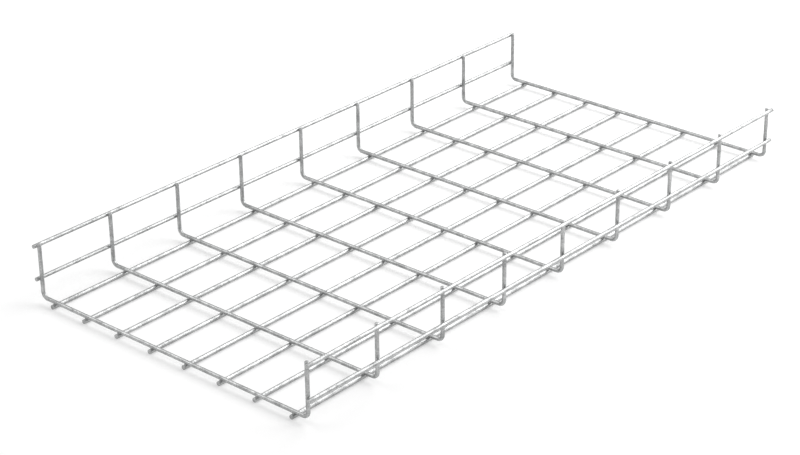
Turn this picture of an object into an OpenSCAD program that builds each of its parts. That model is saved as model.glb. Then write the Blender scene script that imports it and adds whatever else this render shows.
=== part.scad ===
// Wire mesh cable basket: one length of open tray for carrying cables.
// U-shaped cross wires stand in a row, welded to straight wires that run
// lengthways under the floor and along the outside of both sides.
//
// Frame: +X runs along the basket, +Y to its left side, +Z up.
// The origin is in the middle of the length and the width, on the surface
// that the floor wires lie on.

/* [Basket] */
// Width over the side wires, outside to outside
basket_w = 400; // [150:1:620]
// Usable depth, from the cross wires' inner face to the ends of the uprights
side_depth = 60; // [40:1:110]
// How far lengthways wires run past the middle of the end cross wires
end_overhang = 5; // [3:0.5:60]

/* [Cross wires] */
// Diameter of a U-shaped cross wire
cross_d = 4.5; // [3:0.1:6]
// How many cross wires the length has
cross_count = 9; // [2:1:31]
// Spacing of the cross wires, centre to centre
cross_pitch = 100; // [50:1:200]
// Inner radius of the bend from the floor to each upright
bend_inner_r = 4.5; // [2:0.5:10]

/* [Floor wires] */
// Diameter of a lengthways wire under the floor
floor_d = 5; // [3:0.1:6]
// Spacing of the floor wires, centre to centre
floor_pitch = 50; // [30:1:75]

/* [Side wires] */
// Diameter of a lengthways wire on the sides
side_d = 4.5; // [3:0.1:6]
// Height of the lower side wire's centre above the cross wires' inner face
low_wire_h = 19; // [14:0.5:30]
// How far the top side wire lies below the ends of the uprights
top_wire_drop = 0; // [0:0.5:6]

/* [Welds] */
// How deep a lengthways wire and a cross wire are pressed into each other
weld_set_down = 0.4; // [0.1:0.05:0.8]

/* [Hidden] */
$fn = 48;

// Galvanised steel, a shade darker where the wire was bent
floor_steel = "#C9CCCD";
side_steel = "#BFC3C5";
cross_steel = "#B2B6B8";

// Heights of the wires' centrelines
floor_z = floor_d / 2;
cross_z = floor_d + cross_d / 2 - weld_set_down;
inner_face_z = cross_z + cross_d / 2;
upright_top_z = inner_face_z + side_depth;
low_wire_z = inner_face_z + low_wire_h;
top_wire_z = upright_top_z - top_wire_drop - side_d / 2;

// Sideways places: the side wires' outsides set the width
side_wire_y = (basket_w - side_d) / 2;
upright_y = side_wire_y - (side_d + cross_d) / 2 + weld_set_down;
bend_r = bend_inner_r + cross_d / 2;
flat_half_w = upright_y - bend_r;

// As many floor wires as the flat of the floor takes, centred on it
floor_count = 1 + floor(2 * (flat_half_w - floor_d / 2) / floor_pitch);

// Along the basket
cross_span = (cross_count - 1) * cross_pitch;
wire_length = cross_span + 2 * end_overhang;

function cross_x(n) = (n - 1) * cross_pitch - cross_span / 2;
function floor_y(n) = (floor_count - 1) * floor_pitch / 2 - (n - 1) * floor_pitch;

// One U-shaped cross wire: the floor, a bend and an upright at each side
module cross_wire(n) {
    color(cross_steel)
        translate([cross_x(n), 0, cross_z]) {
            rotate([90, 0, 0])
                cylinder(d = cross_d, h = 2 * flat_half_w, center = true);
            for (side = [0, 1])
                mirror([0, side, 0]) {
                    bend();
                    upright();
                }
        }
}

// Quarter turn from the floor up into the upright, about the X axis
module bend() {
    translate([0, flat_half_w, bend_r])
        rotate([0, 90, 0])
            rotate_extrude(angle = 90)
                translate([bend_r, 0])
                    circle(d = cross_d);
}

// Straight leg from the bend to the cut end
module upright() {
    translate([0, upright_y, bend_r])
        cylinder(d = cross_d, h = upright_top_z - cross_z - bend_r);
}

// A straight lengthways wire of diameter d at the given y and z
module lengthways_wire(d, y, z) {
    translate([0, y, z])
        rotate([0, 90, 0])
            cylinder(d = d, h = wire_length, center = true);
}

// A floor wire, pressed in where each cross wire lies over it
module floor_wire(n) {
    color(floor_steel)
        difference() {
            lengthways_wire(floor_d, floor_y(n), floor_z);
            for (k = [1 : cross_count])
                translate([cross_x(k), floor_y(n), cross_z])
                    rotate([90, 0, 0])
                        cylinder(d = cross_d, h = 2 * floor_d, center = true);
        }
}

// A side wire at height z, pressed in where it passes each upright.
// side is 1 on the left and -1 on the right.
module side_wire(side, z) {
    color(side_steel)
        difference() {
            lengthways_wire(side_d, side * side_wire_y, z);
            for (k = [1 : cross_count])
                translate([cross_x(k), side * upright_y, z])
                    cylinder(d = cross_d, h = 2 * side_d, center = true);
        }
}

for (n = [1 : cross_count])
    cross_wire(n);
for (n = [1 : floor_count])
    floor_wire(n);
side_wire(1, low_wire_z);  // left_low_wire
side_wire(1, top_wire_z);  // left_top_wire
side_wire(-1, low_wire_z);  // right_low_wire
side_wire(-1, top_wire_z);  // right_top_wire
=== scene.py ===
# %% [markdown]
# # A wire mesh cable basket
#
# The real object is one length of cable basket. Nine steel wires are bent into a
# wide U, and twelve straight wires are welded across them: eight under the floor
# and two along the outside of each side. The whole basket is then dipped in
# molten zinc. This script starts from the solid model, which fixes every place
# and size, and gives it what the solids leave out: truly round wires, their
# sheared ends, the small ring of metal round each weld, and the zinc.

# %% Load the solid model
import math

import bmesh
import bpy
from mathutils import Matrix, Vector


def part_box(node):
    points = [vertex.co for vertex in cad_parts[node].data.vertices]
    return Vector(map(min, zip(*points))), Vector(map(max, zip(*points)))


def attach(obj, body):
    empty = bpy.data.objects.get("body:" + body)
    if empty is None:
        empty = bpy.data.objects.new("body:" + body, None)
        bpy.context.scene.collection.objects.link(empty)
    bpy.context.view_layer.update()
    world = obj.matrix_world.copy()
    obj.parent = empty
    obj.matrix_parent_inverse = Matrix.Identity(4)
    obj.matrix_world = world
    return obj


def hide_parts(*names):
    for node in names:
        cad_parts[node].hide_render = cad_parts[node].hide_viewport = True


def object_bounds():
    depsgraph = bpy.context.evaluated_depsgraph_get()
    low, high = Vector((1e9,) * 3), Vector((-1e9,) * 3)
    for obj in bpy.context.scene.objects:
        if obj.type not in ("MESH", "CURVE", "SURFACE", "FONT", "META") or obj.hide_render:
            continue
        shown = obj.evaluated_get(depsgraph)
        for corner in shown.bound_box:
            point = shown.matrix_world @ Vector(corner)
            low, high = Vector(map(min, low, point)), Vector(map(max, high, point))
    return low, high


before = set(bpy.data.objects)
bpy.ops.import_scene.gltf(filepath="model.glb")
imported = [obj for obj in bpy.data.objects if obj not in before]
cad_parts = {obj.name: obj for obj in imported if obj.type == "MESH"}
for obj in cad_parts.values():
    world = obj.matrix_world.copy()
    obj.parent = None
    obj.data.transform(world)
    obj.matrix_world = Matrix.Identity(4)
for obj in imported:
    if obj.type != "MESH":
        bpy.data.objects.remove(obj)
cad_low, cad_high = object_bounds()
print("basket, in mm:", [round(1000 * side) for side in cad_high - cad_low])

# %% [markdown]
# ## Reading the wires from the model
#
# Nothing is measured twice. The box round each solid wire tells where it runs
# and how thick it is, so a wire made here lies exactly where the solid one does.
# The names sort the wires into the two kinds: bent ones and straight ones.

# %% Sort the wires into bent and straight ones
MM = 0.001
bent_names = sorted(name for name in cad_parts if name.startswith("cross_wire"))
straight_names = sorted(set(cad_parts) - set(bent_names))
print(len(bent_names), "bent wires and", len(straight_names), "straight wires")


def middle(node):
    """The middle of a solid wire's box."""
    low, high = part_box(node)
    return (low + high) / 2


def thickness(node, axis):
    """The size of a solid wire's box along one axis."""
    low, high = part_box(node)
    return (high - low)[axis]


# %% [markdown]
# ## Drawing a wire along its path
#
# A wire has the same round section all the way, so it is grown the way it is
# drawn: one ring of points is pulled along a straight stretch with extrude, and
# turned round a bend with spin. That keeps every side running true from end to
# end, which a cylinder joined to a piece of a torus wouldn't do.
#
# The ends of the wires are sheared, not sawn. The blade rolls the rim over a
# little, so a narrow bevel goes round each end face.

# %% Helpers that grow a wire from a ring of points
WIRE_SIDES = 28
BEND_STEPS = 10
SHEARED_RIM = 0.35 * MM
STRETCH_LENGTH = 12.5 * MM
SHARP_FROM_DEGREES = 50


def start_ring(mesh, radius, place):
    """The first ring of a wire: a disc, whose edge the rest grows from."""
    disc = bmesh.ops.create_circle(
        mesh, cap_ends=True, radius=radius, segments=WIRE_SIDES, matrix=place
    )
    return list({edge for vert in disc["verts"] for edge in vert.link_edges})


def pull_straight(mesh, ring, way):
    """Pulls the ring along a straight stretch, in steps of even length."""
    steps = max(1, round(way.length / STRETCH_LENGTH))
    for _ in range(steps):
        grown = bmesh.ops.extrude_edge_only(mesh, edges=ring)["geom"]
        ring = [part for part in grown if isinstance(part, bmesh.types.BMEdge)]
        ends = [part for part in grown if isinstance(part, bmesh.types.BMVert)]
        ring = [edge for edge in ring if all(vert in ends for vert in edge.verts)]
        bmesh.ops.translate(mesh, verts=ends, vec=way / steps)
    return ring


def turn_bend(mesh, ring, centre):
    """Turns the ring round a quarter bend, about an axis along the basket."""
    turned = bmesh.ops.spin(
        mesh,
        geom=ring,
        cent=centre,
        axis=(1, 0, 0),
        angle=-math.pi / 2,
        steps=BEND_STEPS,
    )["geom_last"]
    return [part for part in turned if isinstance(part, bmesh.types.BMEdge)]


def close_end(mesh, ring):
    """Fills the last ring with the wire's other end face."""
    bmesh.ops.contextual_create(mesh, geom=ring)


def roll_rims(mesh):
    """Bevels the rim of both sheared end faces."""
    faces = [face for face in mesh.faces if len(face.verts) == WIRE_SIDES]
    rims = {edge for face in faces for edge in face.edges}
    bmesh.ops.bevel(
        mesh,
        geom=list(rims),
        offset=SHEARED_RIM,
        offset_type="OFFSET",
        affect="EDGES",
        segments=2,
        profile=0.5,
        material=-1,
    )


def finish_piece(mesh, name, replaced=()):
    """Turns a finished mesh into a smooth piece that rides on the basket's body."""
    bmesh.ops.recalc_face_normals(mesh, faces=mesh.faces)
    data = bpy.data.meshes.new(name)
    mesh.to_mesh(data)
    mesh.free()
    data.shade_smooth()
    data.set_sharp_from_angle(angle=math.radians(SHARP_FROM_DEGREES))
    piece = bpy.data.objects.new(name, data)
    bpy.context.scene.collection.objects.link(piece)
    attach(piece, "root")
    if replaced:
        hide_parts(*replaced)
    return piece


# %% [markdown]
# ## The bent cross wires
#
# Each cross wire is one piece of wire, pressed over two small rollers. It is
# grown from the cut end of one upright, down, round the first bend, across the
# floor, round the second bend and up again. The inside of a bend has the radius
# of the roller, and the solid model's box gives everything else.

# %% Grow the bent cross wires
ROLLER_RADIUS = 4.5 * MM


def bent_wire(node):
    """One cross wire, grown from the end of its left upright."""
    low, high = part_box(node)
    radius = thickness(node, 0) / 2
    bend = ROLLER_RADIUS + radius
    x = middle(node).x
    left, right = high.y - radius, low.y + radius
    floor = low.z + radius
    mesh = bmesh.new()
    ring = start_ring(mesh, radius, Matrix.Translation((x, left, high.z)))
    leg = high.z - floor - bend
    ring = pull_straight(mesh, ring, Vector((0, 0, -leg)))
    centre = Vector((x, left - bend, floor + bend))
    ring = turn_bend(mesh, ring, centre)
    ring = pull_straight(mesh, ring, Vector((0, right - left + 2 * bend, 0)))
    centre = Vector((x, right + bend, floor + bend))
    ring = turn_bend(mesh, ring, centre)
    ring = pull_straight(mesh, ring, Vector((0, 0, leg)))
    close_end(mesh, ring)
    roll_rims(mesh)
    return finish_piece(mesh, "bent_" + node, [node])


bent_wires = [bent_wire(node) for node in bent_names]
print("a bent wire has", len(bent_wires[0].data.polygons), "faces")

# %% [markdown]
# ## The straight wires
#
# A straight wire is the same ring pulled once, from one end of the basket to
# the other. The eight floor wires lie under the cross wires, and the four side
# wires outside the uprights.

# %% Grow the straight wires
TO_X = Matrix.Rotation(math.pi / 2, 4, "Y")


def straight_wire(node):
    """One lengthways wire, grown from its end at the low side of X."""
    low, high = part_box(node)
    radius = max(thickness(node, 1), thickness(node, 2)) / 2
    start = Vector((low.x, middle(node).y, middle(node).z))
    mesh = bmesh.new()
    ring = start_ring(mesh, radius, Matrix.Translation(start) @ TO_X)
    ring = pull_straight(mesh, ring, Vector((high.x - low.x, 0, 0)))
    close_end(mesh, ring)
    roll_rims(mesh)
    return finish_piece(mesh, "straight_" + node, [node])


straight_wires = [straight_wire(node) for node in straight_names]
print("a straight wire has", len(straight_wires[0].data.polygons), "faces")

# %% [markdown]
# ## The welds
#
# At each crossing a current was sent through the two wires while they were
# pressed together. The steel between them melted, and a thin ring of it was
# squeezed out of the joint, which the zinc then rounded over. A flattened
# sphere, centred where the two wires meet, shows just such a ring in the narrow
# gap round the joint. There are over a hundred, so each has few faces, and all
# the welds of the floor are one mesh and those of the sides another.

# %% Set a ring of metal at every crossing
WELD_REACH = 2.2 * MM
WELD_HEIGHT = 0.95 * MM
WELD_SIDES, WELD_ROWS = 14, 7


def weld_places(names):
    """Where each straight wire meets each cross wire, and the way across the joint."""
    places = []
    for straight in names:
        for bent in bent_names:
            here = Vector((middle(bent).x, middle(straight).y, middle(straight).z))
            low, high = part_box(bent)
            radius = thickness(bent, 0) / 2
            if straight.startswith("floor"):
                across = Vector((0, 0, low.z + radius)) - Vector((0, 0, here.z))
            else:
                side = math.copysign(1, here.y)
                wall = high.y - radius if side > 0 else low.y + radius
                across = Vector((0, wall - here.y, 0))
            share = thickness(straight, 2) / (thickness(straight, 2) + 2 * radius)
            places.append((here + across * share, across.normalized()))
    return places


def weld_rings(name, names):
    """One mesh with the ring of metal of each weld."""
    mesh = bmesh.new()
    flat = Matrix.Diagonal((WELD_REACH, WELD_REACH, WELD_HEIGHT, 1))
    for place, across in weld_places(names):
        turn = across.to_track_quat("Z", "Y").to_matrix().to_4x4()
        bmesh.ops.create_uvsphere(
            mesh,
            u_segments=WELD_SIDES,
            v_segments=WELD_ROWS,
            radius=1,
            matrix=Matrix.Translation(place) @ turn @ flat,
        )
    return finish_piece(mesh, name)


floor_names = [name for name in straight_names if name.startswith("floor")]
side_names = [name for name in straight_names if name not in floor_names]
welds = [weld_rings("floor_welds", floor_names), weld_rings("side_welds", side_names)]
print("welds in the floor:", len(weld_places(floor_names)))
print("welds on the sides:", len(weld_places(side_names)))

# %% [markdown]
# ## Hot-dip galvanised drawn steel wire
#
# The wire is low-carbon steel, drawn smooth through a die, then welded and
# dipped in zinc at 450 degrees. The coat is a mid-grey metal: it mirrors the
# room softly, because its crystals and a thin skin of oxide break the
# reflection up. Patches a few millimetres long are duller or brighter, and the
# skin has a fine grain. So the shader is a metal whose colour and roughness
# wander at two scales, with a slight bump from the grain.
#
# The real grain is finer than these views can show. It is drawn as coarse as
# it needs to be to be seen on a thin wire.

# %% A helper for nodes and the zinc material


def linear(hex_colour):
    """An sRGB hex colour as the linear colour that a shader wants."""
    parts = [int(hex_colour[i : i + 2], 16) / 255 for i in (1, 3, 5)]
    return [
        part / 12.92 if part <= 0.04045 else ((part + 0.055) / 1.055) ** 2.4
        for part in parts
    ] + [1]


def add_node(tree, kind, settings=None, inputs=None):
    """Adds a node with its settings, and sets or links its inputs."""
    node = tree.nodes.new(kind)
    for key, value in (settings or {}).items():
        setattr(node, key, value)
    for key, value in (inputs or {}).items():
        if isinstance(value, bpy.types.NodeSocket):
            tree.links.new(value, node.inputs[key])
        else:
            node.inputs[key].default_value = value
    return node


def new_material(name):
    """An empty node material and its output node."""
    material = bpy.data.materials.new(name)
    material.use_nodes = True
    material.node_tree.nodes.clear()
    output = material.node_tree.nodes.new("ShaderNodeOutputMaterial")
    return material, material.node_tree, output


PATCH_SIZE = 9 * MM
GRAIN_SIZE = 1.5 * MM
GRAIN_DEPTH = 0.05 * MM
GRAIN_STRENGTH = 0.25
DULL_ZINC, BRIGHT_ZINC = linear("#8E8F8F"), linear("#C3C4C4")
DULL_ROUGHNESS, BRIGHT_ROUGHNESS = 0.46, 0.34


def hot_dip_zinc():
    """The coat of a hot-dip galvanised drawn steel wire."""
    material, tree, output = new_material("hot_dip_galvanised_drawn_steel_wire")
    where = add_node(tree, "ShaderNodeTexCoord").outputs["Object"]
    patches = add_node(
        tree,
        "ShaderNodeTexNoise",
        inputs={"Vector": where, "Scale": 1 / PATCH_SIZE, "Detail": 3.0},
    ).outputs["Fac"]
    grain = add_node(
        tree,
        "ShaderNodeTexNoise",
        inputs={"Vector": where, "Scale": 1 / GRAIN_SIZE, "Detail": 2.0},
    ).outputs["Fac"]
    both = add_node(
        tree,
        "ShaderNodeMix",
        {"data_type": "FLOAT"},
        {0: 0.5, 2: patches, 3: grain},
    ).outputs[0]
    spread = add_node(
        tree,
        "ShaderNodeMapRange",
        inputs={"Value": both, "From Min": 0.35, "From Max": 0.65},
    ).outputs["Result"]
    colour = add_node(
        tree,
        "ShaderNodeMix",
        {"data_type": "RGBA"},
        {0: spread, 6: DULL_ZINC, 7: BRIGHT_ZINC},
    ).outputs[2]
    roughness = add_node(
        tree,
        "ShaderNodeMapRange",
        inputs={
            "Value": spread,
            "To Min": DULL_ROUGHNESS,
            "To Max": BRIGHT_ROUGHNESS,
        },
    ).outputs["Result"]
    bump = add_node(
        tree,
        "ShaderNodeBump",
        inputs={
            "Height": grain,
            "Strength": GRAIN_STRENGTH,
            "Distance": GRAIN_DEPTH,
        },
    ).outputs["Normal"]
    shader = add_node(
        tree,
        "ShaderNodeBsdfPrincipled",
        inputs={
            "Base Color": colour,
            "Metallic": 1.0,
            "Roughness": roughness,
            "Normal": bump,
        },
    )
    tree.links.new(shader.outputs["BSDF"], output.inputs["Surface"])
    return material


zinc = hot_dip_zinc()
zinc_pieces = bent_wires + straight_wires + welds
for piece in zinc_pieces:
    piece.data.materials.append(zinc)
print("pieces in zinc:", len(zinc_pieces))

# %% [markdown]
# ## The floor and the light
#
# The basket lies on a plain white floor in a pale studio. A big soft lamp
# stands high behind its far end, so the lengthways wires catch it along their
# tops while the cross wires, which run the other way, stay grey. Two weaker
# lamps, one on the left and one low behind the right side, open the shadows.
#
# Floor and room are brighter where they are looked at, or mirrored, than where
# they only light the basket, so the floor shows white and still keeps a shadow.

# %% Floor, room and lamps
FLOOR_GLOW = 0.30
FLOOR_REACH = 30
PAPER_WHITE = linear("#E6E6E6")
ROOM_LIGHT = 0.52
centre = (cad_low + cad_high) / 2


def seen_rays(tree):
    """1 where a surface is looked at, mirrored or seen through, and else 0."""
    rays = add_node(tree, "ShaderNodeLightPath").outputs
    seen = rays["Is Camera Ray"]
    for kind in ("Is Glossy Ray", "Is Transmission Ray"):
        seen = add_node(
            tree,
            "ShaderNodeMath",
            {"operation": "MAXIMUM"},
            {0: seen, 1: rays[kind]},
        ).outputs[0]
    return seen


def white_floor():
    """A matt white floor that shows as white and keeps the basket's soft shadow."""
    material, tree, output = new_material("matt_white_paper")
    strength = add_node(
        tree,
        "ShaderNodeMath",
        {"operation": "MULTIPLY"},
        {0: seen_rays(tree), 1: FLOOR_GLOW},
    ).outputs[0]
    glow = add_node(tree, "ShaderNodeEmission", inputs={"Strength": strength})
    paper = add_node(tree, "ShaderNodeBsdfDiffuse", inputs={"Color": PAPER_WHITE})
    both = add_node(tree, "ShaderNodeAddShader")
    tree.links.new(glow.outputs[0], both.inputs[0])
    tree.links.new(paper.outputs[0], both.inputs[1])
    tree.links.new(both.outputs[0], output.inputs["Surface"])
    return material


def make_floor():
    """A wide flat sheet just under the basket."""
    mesh = bmesh.new()
    bmesh.ops.create_grid(mesh, x_segments=1, y_segments=1, size=FLOOR_REACH)
    bmesh.ops.translate(mesh, verts=mesh.verts, vec=(0, 0, cad_low.z))
    data = bpy.data.meshes.new("floor")
    mesh.to_mesh(data)
    mesh.free()
    data.materials.append(white_floor())
    floor = bpy.data.objects.new("floor", data)
    bpy.context.scene.collection.objects.link(floor)


def make_room():
    """A pale room: bright where it is seen, softer where it only lights."""
    world = bpy.data.worlds.new("pale_room")
    bpy.context.scene.world = world
    world.use_nodes = True
    tree = world.node_tree
    tree.nodes.clear()
    output = tree.nodes.new("ShaderNodeOutputWorld")
    strength = add_node(
        tree,
        "ShaderNodeMapRange",
        inputs={"Value": seen_rays(tree), "To Min": ROOM_LIGHT, "To Max": 1.0},
    ).outputs["Result"]
    back = add_node(tree, "ShaderNodeBackground", inputs={"Strength": strength})
    tree.links.new(back.outputs[0], output.inputs["Surface"])


def soft_lamp(name, offset, size, power):
    """A soft lamp that shines on the basket's middle and doesn't show itself."""
    place = centre + Vector(offset)
    data = bpy.data.lights.new(name, "AREA")
    data.shape = "RECTANGLE"
    data.size, data.size_y = size
    data.energy = power
    lamp = bpy.data.objects.new(name, data)
    lamp.location = place
    lamp.rotation_euler = (centre - place).to_track_quat("-Z", "Y").to_euler()
    lamp.visible_camera = False
    bpy.context.scene.collection.objects.link(lamp)


make_floor()
make_room()
soft_lamp("far_end_lamp", (2.0, -0.5, 1.9), (3.2, 2.0), 66)
soft_lamp("left_side_lamp", (-0.9, 1.9, 2.3), (2.4, 1.6), 20)
soft_lamp("right_far_lamp", (1.7, -1.7, 0.75), (1.8, 1.0), 12)
lamps = [thing.name for thing in bpy.data.objects if thing.type == "LIGHT"]
print("lamps:", lamps)

# %% [markdown]
# ## The camera
#
# The camera looks along the basket from the near right corner, from a little
# above, with a long lens, so that the far end is only slightly smaller. Angles
# are in degrees: heading is turned from +X towards +Y, tilt is down, and the
# camera is rolled by well under one degree.

# %% Place the camera
HEADING, TILT, ROLL = 41.45, 26.01, 0.663
AIM_FROM_CENTRE = Vector((-71.9, -24.1, 0)) * MM
DISTANCE = 2432 * MM
LENS = 99.35

camera_data = bpy.data.cameras.new("camera")
camera_data.lens = LENS
camera = bpy.data.objects.new("camera", camera_data)
bpy.context.scene.collection.objects.link(camera)
heading, tilt = math.radians(HEADING), math.radians(TILT)
look = Vector(
    (
        math.cos(heading) * math.cos(tilt),
        math.sin(heading) * math.cos(tilt),
        -math.sin(tilt),
    )
)
aim = centre + AIM_FROM_CENTRE
camera.location = aim - look * DISTANCE
upright = look.to_track_quat("-Z", "Y")
camera.rotation_mode = "QUATERNION"
camera.rotation_quaternion = upright @ Matrix.Rotation(
    math.radians(-ROLL), 4, "Z"
).to_quaternion()
bpy.context.scene.camera = camera
print("camera stands at", [round(1000 * part) for part in camera.location], "mm")

# %% [markdown]
# ## Last things
#
# Colours are shown as they are, with no film look.

bpy.context.scene.view_settings.view_transform = "Standard"
